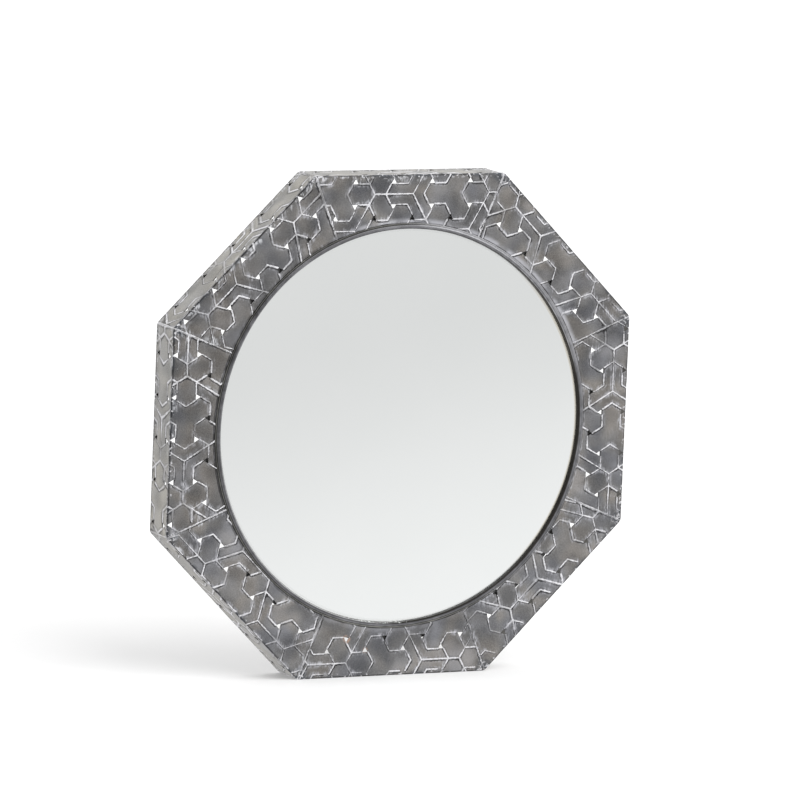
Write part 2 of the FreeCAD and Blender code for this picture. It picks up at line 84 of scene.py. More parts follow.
# Each side: its normal's angle in the front view, the place of a plain tile on its front plate
# as shares of the pitch (along, outward from the fold) and along its wall, and how light its plate
# and its wall are, partly each sheet's own colour and partly painted light and shade for the way
# the side faces the lamp and the floor
Side = namedtuple("Side", "angle tile_along tile_out wall_tile plate_tone wall_tone")
SIDES = {
    "top": Side(90, 1.08, -0.457, 1.43, 1.0, 0.86),
    "upper_right": Side(45, 0.327, -0.357, 1.30, 1.04, 1.0),
    "right": Side(0, 0.327, -0.384, 1.50, 1.01, 1.0),
    "lower_right": Side(-45, -1.002, -0.606, 1.35, 1.12, 1.0),
    "bottom": Side(-90, 0.214, -0.343, 1.45, 1.01, 1.0),
    "lower_left": Side(-135, 0.314, -0.271, 1.40, 1.12, 1.0),
    "left": Side(180, 0.341, -0.382, 1.29, 0.94, 1.09),
    "upper_left": Side(135, 0.335, -0.398, 1.59, 0.94, 1.05),
}
# Plates whose pattern is turned half round
TURNED = {"lower_right"}
# How far the pattern is drawn out from its plain tile
LATTICE_ROWS = 4
LATTICE_STEPS = 9

# The raised line's section: distance from its middle, and height
RIDGE_AT = (0.0, 0.35, 0.75, 1.05, 1.5, 2.2, 5.0, 10.0)
RIDGE_UP = (0.38, 0.33, 0.02, -0.20, -0.12, 0.0, 0.12, 0.18)
# Distances from a seam count by this share, so its ridge is broader
SEAM_SHARE = 0.85

# Relief of the sheets in millimetres: height or depth, and size of the waves or reach from the mark
PLATE_WAVE = 0.30
WALL_WAVE = 0.25
WAVE_SIZE = 33.0
DENT = 0.10
DENT_SIZE = 9.0
HOLE_SINK = 0.3
HOLE_SINK_REACH = 1.4
FOLD_DENT = 0.9
FOLD_DENT_REACH = 2.5
CRUMPLE = 0.6
CRUMPLE_SIZE = 4.5
CRUMPLE_REACH = 8.0
LIP_SINK = 0.05
LIP_SINK_REACH = 0.3
WALL_SINK = 0.6
WALL_SINK_REACH = 3.0
HEM_WAVE = 0.08
HEM_WAVE_SIZE = 20.0
HEM_SINK = 0.1
# Seeds of the noise, what is added to a sheet's own for its dents and crumpled corners, and how far
# apart two seeds lie in the noise
PLATE_SEED = 1
WALL_SEED = 21
HEM_SEED = 3.0
DENT_SEED = 40
CRUMPLE_SEED = 80
SEED_STEP = 7.31

# Spacing of the meshes' points: along lines, between lines, and rows beside lines, holes, folds and seams
LINE_STEP = 2.6
GRID_STEP = 4.4
PROBE_STEP = 2.0
HEM_STEP = 5.0
RIDGE_ROWS = (0.0, 0.7, -0.7, 1.1, -1.1, 2.0, -2.0)
HOLE_ROWS = (0.0, 1.0)
FOLD_ROWS = (0.0, 0.35, 0.9, FOLD)
PLATE_INSET = 2.8
HEM_INSET = 3.5
SEAM_ROWS = (0.7, 1.1, 2.0)
BORE_ROWS = (PLATE_BORE, PLATE_BORE + 2.5, LIP_RADIUS, LIP_RADIUS + 1.0, LIP_RADIUS + 2.0)
BORE_POINTS = 60
CORNER_POINTS = 5
# How far rows stop before an edge or a hole, and grid points before an edge, a line or a hole
ROW_TO_EDGE = 0.5
ROW_TO_HOLE = 0.4
GRID_TO_EDGE = 2.4
GRID_TO_LINE = 2.6
GRID_TO_HOLE = 1.8
# A plate's grid of points: half its length, and its lowest row's distance from the middle
GRID_HALF = 130.0
GRID_LOW = 222.0
# How far rows across a wall's rounded ends stop before its folds
BEND_TO_FOLD = 1.0
# Points nearer than the first become one, and no length is divided by less than the second
WELD = 1e-3
TINY = 1e-6
# Edges sharper than this stay sharp, in degrees
SHEET_SHARP = 50
RING_SHARP = 60

# What each sheet's points carry for the material, and the value far from every mark: distances to the
# nearest raised line, fold, corner, rusty hole and ring, how far a point lies on the lower side of its
# line, where painted shade darkens the line's foot, how pale the sheet is beside the ring and below zero
# how much painted shade lies there, and how light the sheet is, with painted light on some sides and
# painted shade on the inner faces
FAR = 12.0
BARE = {"line_mm": FAR, "edge_mm": FAR, "corner_mm": 40.0, "rust_mm": FAR, "rim_mm": FAR,
        "shaded_low_side": 0.0, "rim_pale_and_shade": 0.0, "tone": 1.0}
# How far the lower-side share, which puts painted shade below the lines, falls where the way from a line to
# its point leads straight up
LOW_SIDE_SLOPE = 0.8
# The inner faces of the sheets are darkened, and those of the hems made black, as painted shade inside the
# frame
INNER_SHADE = 0.3
HEM_INNER_SHADE = 0.04
# Plates that are pale beside the ring, and below zero those with painted shade there
RIM_PALE_AND_SHADE = {"top": 0.9, "upper_right": 1.0, "bottom": 0.4, "left": -1.0, "lower_left": -0.6,
            "upper_left": -0.5}
# Plates whose chalky lines are broader
LINE_BREADTH = {"left": 1.16, "upper_left": 1.18, "lower_right": 1.14}
# Rusty holes: their middles on a plate, along it and outward, and how much less far the rust reaches
RUSTY = {"bottom": ((61.9, 258.1, 0.0), (36.4, 272.8, 1.6))}


# Pattern of tiles

def tile_segments(kind):
    """Raised lines that belong to one tile: its lobes' tips, and the lines inside it."""
    part = (PITCH - HOLE_SIDE) / 3
    tip = 2 * part + HOLE_SIDE
    shoulder = part / 2 + part + HOLE_SIDE
    half = math.sqrt(3) / 2 * part
    lines = []
    for turn in (60, 180, 300):
        c = math.cos(math.radians(turn))
        s = math.sin(math.radians(turn))
        end = (tip * c, tip * s)
        for side in (1, -1):
            lines.append((end, (shoulder * c - side * half * s, shoulder * s + side * half * c)))
        if kind == 1:
            lines.append(((0.0, 0.0), (-part * c, -part * s)))
        if kind == 2:
            lines.append(((0.0, 0.0), end))
    return lines


def lattice(tile_u, tile_v, sense):
    """All raised lines and triangular holes of the pattern around one plain tile."""
    lines = []
    holes = []
    rise = math.sqrt(3) / 2 * PITCH
    third = PITCH / math.sqrt(12)
    for row in range(-LATTICE_ROWS, LATTICE_ROWS + 1):
        for step in range(-LATTICE_STEPS, LATTICE_STEPS + 1):
            kind = (step - row) % 3
            centre = np.array((step * PITCH + row * PITCH / 2, row * rise))
            for start, end in tile_segments(kind):
                lines.append((centre + start, centre + end))
            for point in (1, -1):
                middle = centre + (PITCH / 2, point * third)
                base = -point * HOLE_SIDE / math.sqrt(12)
                peak = point * HOLE_SIDE / math.sqrt(3)
                corners = [(-HOLE_SIDE / 2, base), (HOLE_SIDE / 2, base), (0.0, peak)]
                if point < 0:
                    corners.reverse()
                holes.append(middle + np.array(corners))
    place = np.array((tile_u, tile_v))
    return place + sense * np.array(lines), place + sense * np.array(holes)


def line_distance(points, lines):
    """Distance from each point to the nearest line, and the unit vector away from that line."""
    best = np.full(len(points), FAR)
    away = np.zeros((len(points), 2))
    for start, end in lines:
        run = end - start
        share = np.clip(((points - start) @ run) / (run @ run), 0, 1)
        gap = points - start - share[:, None] * run
        size = np.hypot(gap[:, 0], gap[:, 1])
        nearer = size < best
        best[nearer] = size[nearer]
        away[nearer] = gap[nearer] / np.maximum(size[nearer], TINY)[:, None]
    return best, away


def hole_distance(points, holes):
    """Distance from each point to the nearest hole, below zero inside one."""
    best = np.full(len(points), FAR)
    for corners in holes:
        outside = np.full(len(points), -FAR)
        for number in range(3):
            start = corners[number]
            run = corners[(number + 1) % 3] - start
            outward = np.array((run[1], -run[0])) / math.hypot(run[0], run[1])
            outside = np.maximum(outside, (points - start) @ outward)
        best = np.minimum(best, outside)
    return best


def wander(points, seed, size):
    """Smooth noise between -1 and 1 over a plane, with a feature size in millimetres."""
    return np.array([noise.noise(Vector((u / size, v / size, seed * SEED_STEP))) for u, v in points])


# Sheets as thin closed solids

class Net:
    """Points and edges that a triangulation has to keep."""

    def __init__(self, inside):
        self.inside = inside
        self.points = []
        self.edges = []

    def row(self, points, closed=False, keep=None):
        """Add a row of points with edges between neighbours that are both kept."""
        first = None
        last = None
        for number, point in enumerate(points):
            if keep is not None and not keep[number]:
                last = None
                continue
            index = len(self.points)
            self.points.append(tuple(point))
            if last is not None:
                self.edges.append((last, index))
            if first is None:
                first = index
            last = index
        if closed:
            self.edges.append((last, first))

    def triangles(self, holes):
        """Points and triangles of the sheet, without its outside and its holes."""
        found = geometry.delaunay_2d_cdt([Vector(p) for p in self.points], self.edges, [], 0, WELD)
        points = np.array([tuple(p) for p in found[0]])
        faces = np.array([f for f in found[2] if len(f) == 3])
        middles = points[faces].mean(axis=1)
        kept = self.inside(middles) > 0
        if len(holes):
            kept &= hole_distance(middles, holes) > 0
        faces = faces[kept]
        used, inverse = np.unique(faces, return_inverse=True)
        return points[used], inverse.reshape(faces.shape)


def steps(start, end, size):
    """Evenly spaced points from start to end, no farther apart than size."""
    start = np.array(start, float)
    end = np.array(end, float)
    count = max(2, int(math.ceil(np.linalg.norm(end - start) / size)) + 1)
    return start + (end - start) * np.linspace(0, 1, count)[:, None]


def lines_on(lines, inside):
    """Those raised lines that cross a sheet."""
    return [line for line in lines if inside(steps(line[0], line[1], PROBE_STEP)).max() > 0]


def ridge_rows(net, lines, holes):
    """Rows of points along each raised line, on both of its flanks."""
    for start, end in lines:
        run = (end - start) / np.linalg.norm(end - start)
        across = np.array((-run[1], run[0]))
        path = steps(start, end, LINE_STEP)
        for offset in RIDGE_ROWS:
            points = path + across * offset
            keep = net.inside(points) > ROW_TO_EDGE
            if len(holes):
                keep &= hole_distance(points, holes) > ROW_TO_HOLE
            net.row(points, keep=keep)


def hole_rows(net, holes):
    """Rows of points along each hole's edge and around it."""
    for corners in holes:
        for offset in HOLE_ROWS:
            ring = []
            middle = corners.mean(axis=0)
            spread = 1 + offset / (HOLE_SIDE / math.sqrt(12))
            wide = middle + (corners - middle) * spread
            for number in range(3):
                ring.extend(steps(wide[number], wide[(number + 1) % 3], LINE_STEP)[:-1])
            net.row(ring, closed=True)


def grid_points(net, low, high, lines, holes):
    """Points between the lines, on a triangular grid."""
    row_step = GRID_STEP * math.sqrt(3) / 2
    rows = int((high[1] - low[1]) / row_step) + 1
    columns = int((high[0] - low[0]) / GRID_STEP) + 1
    points = []
    for row in range(rows):
        for column in range(columns):
            points.append((low[0] + (column + 0.5 * (row % 2)) * GRID_STEP, low[1] + row * row_step))
    points = np.array(points)
    keep = net.inside(points) > GRID_TO_EDGE
    keep &= line_distance(points, lines)[0] > GRID_TO_LINE
    if len(holes):
        keep &= hole_distance(points, holes) > GRID_TO_HOLE
    for point in points[keep]:
        net.points.append(tuple(point))


def add_piece(name, mesh, material, nodes):
    """Put a mesh into the scene as a piece of the frame that stands for CAD nodes."""
    mesh.materials.append(material)
    piece = bpy.data.objects.new(name, mesh)
    bpy.context.scene.collection.objects.link(piece)
    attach(piece, "frame")
    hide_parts(*nodes)


def thin_solid(name, parts, material, nodes):
    """One object from sheets: each has top points, bottom points, triangles, values at the top points."""
    vertices = []
    faces = []
    columns = {label: [] for label in BARE}
    base = 0
    for top, bottom, triangles, values in parts:
        count = len(top)
        vertices.append(top)
        vertices.append(bottom)
        faces.extend((triangles + base).tolist())
        faces.extend((triangles[:, ::-1] + base + count).tolist())
        pairs = np.concatenate([triangles[:, (0, 1)], triangles[:, (1, 2)], triangles[:, (2, 0)]])
        known = {tuple(pair) for pair in pairs.tolist()}
        for a, b in pairs.tolist():
            if (b, a) not in known:
                faces.append((b + base, a + base, a + base + count, b + base + count))
        inner = {**BARE, "tone": values.get("inner_shade", INNER_SHADE)}
        for label, bare in BARE.items():
            columns[label].append(values.get(label, np.full(count, bare)))
            columns[label].append(np.full(count, inner[label]))
        base += 2 * count
    mesh = bpy.data.meshes.new(name)
    mesh.from_pydata((np.concatenate(vertices) * MM).tolist(), [], faces)
    for label, column in columns.items():
        attribute = mesh.attributes.new(label, "FLOAT", "POINT")
        attribute.data.foreach_set("value", np.concatenate(column).astype(np.float32))
    mesh.shade_smooth()
    mesh.set_sharp_from_angle(angle=math.radians(SHEET_SHARP))
    add_piece(name, mesh, material, nodes)


# Shape of one side of the frame: u runs along it and w outward from the middle

def from_outer_edge(points):
    """Distance inward from a side's outer edge with its rounded ends."""
    u = np.abs(points[:, 0])
    w = points[:, 1]
    rounded = CORNER_RADIUS - np.hypot(u - ROUND_U, w - ROUND_W)
    return np.where(u > ROUND_U, rounded, APOTHEM - w)


def outer_way(points):
    """Unit vectors square to the outer edge, outward."""
    u = points[:, 0]
    way = np.zeros_like(points)
    beyond = np.abs(u) > ROUND_U
    way[:, 0] = np.where(beyond, u - np.sign(u) * ROUND_U, 0.0)
    way[:, 1] = np.where(beyond, points[:, 1] - ROUND_W, 1.0)
    return way / np.maximum(np.hypot(way[:, 0], way[:, 1]), TINY)[:, None]


def from_mitre(points):
    """Distance from the nearer mitre."""
    return points[:, 1] * math.sin(HALF_TURN) - np.abs(points[:, 0]) * math.cos(HALF_TURN)


def from_middle(points):
    """Distance from the middle of the mirror."""
    return np.hypot(points[:, 0], points[:, 1])


def from_corner(points):
    """Distance from the nearer corner of the octagon."""
    corner = (APOTHEM * math.tan(HALF_TURN), APOTHEM)
    return np.hypot(np.abs(points[:, 0]) - corner[0], points[:, 1] - corner[1])


def in_side(points):
    """How far a point lies inside a side's outer edge and its seams."""
    return np.minimum(from_outer_edge(points), from_mitre(points) - SEAM_GAP / 2)


def in_plate(points):
    """How far a point lies inside a front plate."""
    return np.minimum(in_side(points), from_middle(points) - PLATE_BORE)


def in_wall(points):
    """How far a point lies inside a side wall laid flat, between its folds."""
    reach = np.minimum(points[:, 1] - FOLD, FRAME_DEPTH - FOLD - points[:, 1])
    return np.minimum(reach, WALL_HALF - np.abs(points[:, 0]))


def in_hem(points):
    """How far a point lies inside a rear hem."""
    return np.minimum(in_side(points), points[:, 1] - HEM_EDGE)


def whole_on_plate(hole):
    """Whether a hole lies on a front plate, clear of its fold, its seams and the ring."""
    clear = hole[:, 1].max() < APOTHEM - HOLE_MARGIN
    clear &= from_mitre(hole).min() > SEAM_GAP / 2 + HOLE_MARGIN
    return clear and from_middle(hole).min() > LIP_RADIUS + HOLE_MARGIN


def whole_on_wall(hole):
    """Whether a hole lies on the straight stretch of a side wall, clear of its folds."""
    low = SHEET + HOLE_MARGIN
    clear = hole[:, 1].min() > low and hole[:, 1].max() < FRAME_DEPTH - low
    return clear and np.abs(hole[:, 0]).max() < ROUND_U - HOLE_MARGIN


# The lower side's share sets how much painted shade lies at a line's foot
def lower_side(angle, away_u, away_w):
    """Between 0 above a raised line and 1 below it, with the part standing up."""
    rise = -away_u * math.cos(math.radians(angle)) + away_w * math.sin(math.radians(angle))
    return np.clip(0.5 - LOW_SIDE_SLOPE * rise, 0, 1)


def outer_row(inset):
    """The outer edge moved inward, from one mitre to the other."""
    radius = CORNER_RADIUS - inset
    reach = HALF_TURN - math.asin(SEAM_GAP / 2 / radius)
    bend = np.linspace(0, reach, CORNER_POINTS)
    right = np.stack([ROUND_U + radius * np.sin(bend), ROUND_W + radius * np.cos(bend)], axis=1)
    left = right[::-1] * (-1, 1)
    straight = steps(left[-1], right[0], LINE_STEP)
    return np.concatenate([left[:-1], straight, right[1:]])


def mitre_row(inner, outer, offset, sign):
    """Points along one mitre, a distance off it, between two distances from the middle."""
    along = np.array((math.sin(HALF_TURN), math.cos(HALF_TURN)))
    across = np.array((-math.cos(HALF_TURN), math.sin(HALF_TURN)))
    return (steps(along * inner, along * outer, LINE_STEP) + across * offset) * (sign, 1)


def folded(points, height):
    """Top and bottom of a flat sheet whose outer edge rolls back over the fold."""
    inset = np.clip(from_outer_edge(points), 0, None)
    lean = np.clip((FOLD - inset) / FOLD, 0, 1)
    upright = np.sqrt(1 - lean ** 2)
    top = np.column_stack([points, height * upright - FOLD * (1 - upright)])
    shift = outer_way(points) * (lean * SHEET)[:, None]
    bottom = np.column_stack([points - shift, top[:, 2] - SHEET * upright])
    return top, bottom


def place_flat(angle, local, y, way):
    """World points of a side's flat sheet: along, outward and height over the plane at y."""
    c = math.cos(math.radians(angle))
    s = math.sin(math.radians(angle))
    x = local[:, 0] * s + local[:, 1] * c
    z = -local[:, 0] * c + local[:, 1] * s
    return np.column_stack([x, y + way * local[:, 2], CENTRE_Z + z])


def place_wall(angle, along, depth, height):
    """World points of a side wall: distance along its bent strip, depth and height outward."""
    over = np.clip(np.abs(along) - ROUND_U, 0, None) / CORNER_RADIUS
    radius = CORNER_RADIUS + height
    u = np.sign(along) * (np.minimum(np.abs(along), ROUND_U) + radius * np.sin(over))
    w = ROUND_W + radius * np.cos(over)
    flat = np.column_stack([u, w, depth])
    return place_flat(angle, flat, FRONT_Y, 1)


def relief(points, line, holes, seed, wave):
    """Height of a pressed sheet with its lines, sunk hole rims, waves and dents, and the dents' noise."""
    dents = wander(points, seed + DENT_SEED, DENT_SIZE)
    height = np.interp(line, RIDGE_AT, RIDGE_UP)
    height -= HOLE_SINK * np.exp(-np.clip(hole_distance(points, holes), 0, None) / HOLE_SINK_REACH)
    height += wave * wander(points, seed, WAVE_SIZE) + DENT * dents
    return height, dents


# Sheets of one side, each as top points, bottom points, triangles and values for the material

def plate_net(lines, holes):
    """A front plate laid flat, as points and triangles."""
    net = Net(in_plate)
    for inset in (*FOLD_ROWS, PLATE_INSET):
        net.row(outer_row(inset))
    corner = ROUND_W / math.cos(HALF_TURN)
    for offset in (SEAM_GAP / 2, *SEAM_ROWS):
        outer = corner + math.sqrt(CORNER_RADIUS ** 2 - offset ** 2)
        inner = math.sqrt(PLATE_BORE ** 2 - offset ** 2)
        for sign in (1, -1):
            net.row(mitre_row(inner, outer, offset, sign))
    for radius in BORE_ROWS:
        reach = HALF_TURN - math.asin(SEAM_GAP / 2 / radius)
        bend = np.linspace(-reach, reach, BORE_POINTS)
        net.row(radius * np.column_stack([np.sin(bend), np.cos(bend)]))
    ridge_rows(net, lines, holes)
    hole_rows(net, holes)
    grid_points(net, (-GRID_HALF, GRID_LOW), (GRID_HALF, APOTHEM), lines, holes)
    return net.triangles(holes)


def plate_sheet(side_name, seed):
    """The front plate of one side."""
    side = SIDES[side_name]
    sense = -1 if side_name in TURNED else 1
    lines, holes = lattice(side.tile_along * PITCH, APOTHEM + side.tile_out * PITCH, sense)
    holes = np.array([hole for hole in holes if whole_on_plate(hole)])
    lines = lines_on(lines, in_plate)
    points, triangles = plate_net(lines, holes)

    mitre = SEAM_SHARE * np.abs(from_mitre(points))
    line, away = line_distance(points, lines)
    by_mitre = mitre < line
    line = np.where(by_mitre, mitre, line)
    away[by_mitre, 0] = -np.sign(points[by_mitre, 0]) * math.cos(HALF_TURN)
    away[by_mitre, 1] = math.sin(HALF_TURN)
    edge = np.clip(from_outer_edge(points), 0, FAR)
    corner = from_corner(points)
    height, dents = relief(points, line, holes, seed, PLATE_WAVE)
    height -= FOLD_DENT * np.clip(dents, 0, 1) * np.exp(-edge / FOLD_DENT_REACH)
    crumples = wander(points, seed + CRUMPLE_SEED, CRUMPLE_SIZE)
    height += CRUMPLE * crumples * np.exp(-(corner / CRUMPLE_REACH) ** 2)
    under_lip = from_middle(points) < LIP_RADIUS + LIP_SINK_REACH
    height = np.where(under_lip, np.minimum(height, -LIP_SINK), height)
    top, bottom = folded(points, height)

    count = len(points)
    marks = {"line_mm": line / LINE_BREADTH.get(side_name, 1.0), "edge_mm": edge, "corner_mm": corner,
             "rim_mm": np.clip(from_middle(points) - LIP_RADIUS, 0, FAR),
             "shaded_low_side": lower_side(side.angle, away[:, 0], away[:, 1]),
             "tone": np.full(count, side.plate_tone),
             "rim_pale_and_shade": np.full(count, RIM_PALE_AND_SHADE.get(side_name, 0.0))}
    for along, outward, less in RUSTY.get(side_name, ()):
        apart = less + np.hypot(points[:, 0] - along, points[:, 1] - outward)
        marks["rust_mm"] = np.minimum(apart, marks.get("rust_mm", FAR))
    top = place_flat(side.angle, top, FRONT_Y, -1)
    bottom = place_flat(side.angle, bottom, FRONT_Y, -1)
    return top, bottom, triangles, marks


def wall_net(lines, holes):
    """A side wall laid flat, as points and triangles."""
    net = Net(in_wall)
    low = (-WALL_HALF, FOLD)
    high = (WALL_HALF, FRAME_DEPTH - FOLD)
    for depth in (low[1], high[1]):
        net.row(steps((low[0], depth), (high[0], depth), LINE_STEP))
    for offset in (0.0, *SEAM_ROWS):
        for sign in (1, -1):
            end = sign * (WALL_HALF - offset)
            net.row(steps((end, low[1]), (end, high[1]), LINE_STEP))
    for bend in np.linspace(0, 1, CORNER_POINTS)[:-1]:
        for sign in (1, -1):
            end = sign * (ROUND_U + bend * CORNER_RADIUS * HALF_TURN)
            net.row(steps((end, low[1] + BEND_TO_FOLD), (end, high[1] - BEND_TO_FOLD), LINE_STEP))
    ridge_rows(net, lines, holes)
    hole_rows(net, holes)
    grid_points(net, low, high, lines, holes)
    return net.triangles(holes)


def wall_sheet(side_name, seed):
    """The side wall of one side, between its two folds."""
    side = SIDES[side_name]
    lines, holes = lattice(side.wall_tile * PITCH, WALL_ROW_DEPTH, 1)
    holes = np.array([hole for hole in holes if whole_on_wall(hole)])
    lines = lines_on(lines, in_wall)
    points, triangles = wall_net(lines, holes)

    seam = SEAM_SHARE * (WALL_HALF + SEAM_GAP / 2 - np.abs(points[:, 0]))
    line, away = line_distance(points, lines)
    line = np.minimum(line, seam)
    edge = np.clip(np.minimum(points[:, 1], FRAME_DEPTH - points[:, 1]) - FOLD, 0, FAR)
    height, _ = relief(points, line, holes, seed, WALL_WAVE)
    height = np.minimum(height - WALL_SINK, 0) * np.clip(edge / WALL_SINK_REACH, 0, 1)
    top = place_wall(side.angle, points[:, 0], points[:, 1], height)
    bottom = place_wall(side.angle, points[:, 0], points[:, 1], height - SHEET)
    marks = {"line_mm": line, "edge_mm": edge, "shaded_low_side": lower_side(side.angle, away[:, 0], 0.0),
             "tone": np.full(len(points), side.wall_tone)}
    return top, bottom, triangles, marks


def hem_sheet(side_name):
    """The narrow rear hem of one side."""
    angle = SIDES[side_name].angle
    net = Net(in_hem)
    for inset in (*FOLD_ROWS, HEM_INSET):
        net.row(outer_row(inset))
    corner = ROUND_W / math.cos(HALF_TURN)
    start = HEM_EDGE / math.cos(HALF_TURN) + SEAM_GAP / 2 * math.tan(HALF_TURN)
    ends = []
    for sign in (1, -1):
        row = mitre_row(start, corner + CORNER_RADIUS, SEAM_GAP / 2, sign)
        row[0, 1] = HEM_EDGE
        net.row(row)
        ends.append(row[0])
    net.row(steps(ends[1], ends[0], HEM_STEP))
    points, triangles = net.triangles([])
    height = HEM_WAVE * wander(points, HEM_SEED, HEM_WAVE_SIZE) - HEM_SINK
    top, bottom = folded(points, height)
    marks = {"edge_mm": np.clip(from_outer_edge(points), 0, FAR), "inner_shade": HEM_INNER_SHADE}
    top = place_flat(angle, top, REAR_Y, 1)
    bottom = place_flat(angle, bottom, REAR_Y, 1)
    return top, bottom, triangles[:, ::-1], marks


# Short calls for building nodes

class Graph:
    """A tree of shader nodes."""

    def __init__(self, tree):
        self.tree = tree

    def put(self, socket, value):
        """Link a socket to another one, or set its value."""
        if isinstance(value, bpy.types.NodeSocket):
            self.tree.links.new(value, socket)
        else:
            socket.default_value = value

    def node(self, kind, values=(), **settings):
        made = self.tree.nodes.new(kind)
        for key, setting in settings.items():
            setattr(made, key, setting)
        for key, value in dict(values).items():
            self.put(made.inputs[key], value)
        return made

    def math(self, operation, first, second=0.0):
        return self.node("ShaderNodeMath", {0: first, 1: second}, operation=operation).outputs[0]

    def times(self, first, *others):
        """The product of values."""
        for other in others:
            first = self.math("MULTIPLY", first, other)
        return first

    def most(self, first, *others):
        """The greatest of values."""
        for other in others:
            first = self.math("MAXIMUM", first, other)
        return first

    def span(self, value, low, high, start=0.0, end=1.0):
        """A smooth step from start to end while value goes from low to high."""
        made = self.node("ShaderNodeMapRange", {
            "Value": value, "From Min": low, "From Max": high, "To Min": start, "To Max": end},
            interpolation_type="SMOOTHSTEP")
        return made.outputs[0]


class Shader(Graph):
    """The nodes of one material, in metres of the object's own frame."""

    def __init__(self, name):
        self.material = bpy.data.materials.new(name)
        self.material.use_nodes = True
        super().__init__(self.material.node_tree)
        self.surface = self.tree.nodes["Principled BSDF"]
        self.place = self.node("ShaderNodeTexCoord").outputs["Object"]

    def apart(self):
        """The place's three coordinates."""
        return self.node("ShaderNodeSeparateXYZ", {0: self.place}).outputs

    def around_axis(self):
        """Place across the mirror's middle, height over it, and distance from its axis."""
        apart = self.apart()
        across = apart["X"]
        rise = self.math("SUBTRACT", apart["Z"], CENTRE_Z * MM)
        squares = self.math("ADD", self.math("POWER", across, 2.0), self.math("POWER", rise, 2.0))
        return across, rise, self.math("SQRT", squares)

    def noise(self, scale, detail, vector=None, distortion=0.0):
        made = self.node("ShaderNodeTexNoise", {
            "Vector": self.place if vector is None else vector, "Scale": scale, "Detail": detail,
            "Distortion": distortion})
        return made.outputs["Fac"]

    def stretched(self, scale):
        return self.node("ShaderNodeMapping", {"Vector": self.place, "Scale": scale}).outputs[0]

    def mix(self, factor, first, second, blend="MIX"):
        made = self.node("ShaderNodeMix", data_type="RGBA", blend_type=blend)
        self.put(made.inputs["Factor"], factor)
        self.put(made.inputs[6], first)
        self.put(made.inputs[7], second)
        return made.outputs[2]

    def ramp(self, factor, stops):
        made = self.node("ShaderNodeValToRGB", {"Fac": factor})
        while len(made.color_ramp.elements) < len(stops):
            made.color_ramp.elements.new(0.5)
        for element, (position, colour) in zip(made.color_ramp.elements, stops):
            element.position = position
            element.color = (*colour, 1.0)
        return made.outputs["Color"]

    def shaded(self, colour, value):
        """A colour times a grey value."""
        value_colour = self.node("ShaderNodeCombineColor", {0: value, 1: value, 2: value}).outputs[0]
        return self.mix(1.0, colour, value_colour, "MULTIPLY")

    def attribute(self, name):
        return self.node("ShaderNodeAttribute", attribute_name=name).outputs["Fac"]

    def bump(self, height, distance, strength):
        values = {"Height": height, "Distance": distance, "Strength": strength}
        self.put(self.surface.inputs["Normal"], self.node("ShaderNodeBump", values).outputs[0])

    def finish(self, **sockets):
        for name, value in sockets.items():
            self.put(self.surface.inputs[name.replace("_", " ")], value)
        return self.material


def grey(value):
    return (value, value, value, 1.0)


# Aged zinc of the sheets

BLOOM_COLOUR = (0.445, 0.447, 0.482, 1.0)
SMEAR_COLOUR = (0.62, 0.63, 0.66, 1.0)
DIRT_AND_SHADE_COLOUR = (0.03, 0.029, 0.03, 1.0)
SOOT_COLOUR = (0.066, 0.073, 0.084, 1.0)
RUST_COLOUR = (0.44, 0.29, 0.21, 1.0)
ZINC_METAL = 0.85
STREAK_SCALE = (480.0, 480.0, 150.0)


def pale_bloom(s, marks, near, streaks, bloom_share):
    """Bloom beside lines and ring, thin haze anywhere, and a pale band on the plates that are pale by the
    ring.
    """
    bloom = s.times(near, s.span(streaks, 0.44, 0.58, 0.15, 1.1),
                    s.span(s.noise(40.0, 3.0), 0.42, 0.62, 0.12, bloom_share))
    haze = s.span(s.noise(15.0, 3.0), 0.54, 0.70, 0.0, 0.24)
    pale = s.times(s.span(marks["rim_pale_and_shade"], 0.0, 1.0), s.span(marks["rim_mm"], 2.0, 8.0, 0.85, 0.0),
                   s.span(s.noise(38.0, 3.0), 0.36, 0.56, 0.2, 1.0))
    return s.times(s.most(bloom, haze, pale), marks["tone"])


def pale_smears(s, marks, near, streaks, bloom_share):
    """Streaky smears, most of them beside lines, and scuffs along the folds of the upper left plates."""
    smears = s.times(s.span(s.noise(24.0, 4.0, distortion=1.1), 0.60, 0.70, 0.0, 0.75),
                     s.span(near, 0.0, 0.8, 0.10, 1.0), s.span(streaks, 0.42, 0.55, 0.05, 1.15))
    apart = s.apart()
    upper_left = s.math("SUBTRACT", apart["Z"], apart["X"])
    scuffs = s.times(s.span(s.noise(62.0, 4.0, distortion=1.2), 0.53, 0.60, 0.0, 0.9),
                     s.span(marks["edge_mm"], 4.0, 10.0, 1.0, 0.0),
                     s.span(streaks, 0.42, 0.55, 0.1, 1.1), s.span(upper_left, 0.45, 0.65))
    return s.times(s.most(smears, scuffs), s.times(marks["tone"], bloom_share))


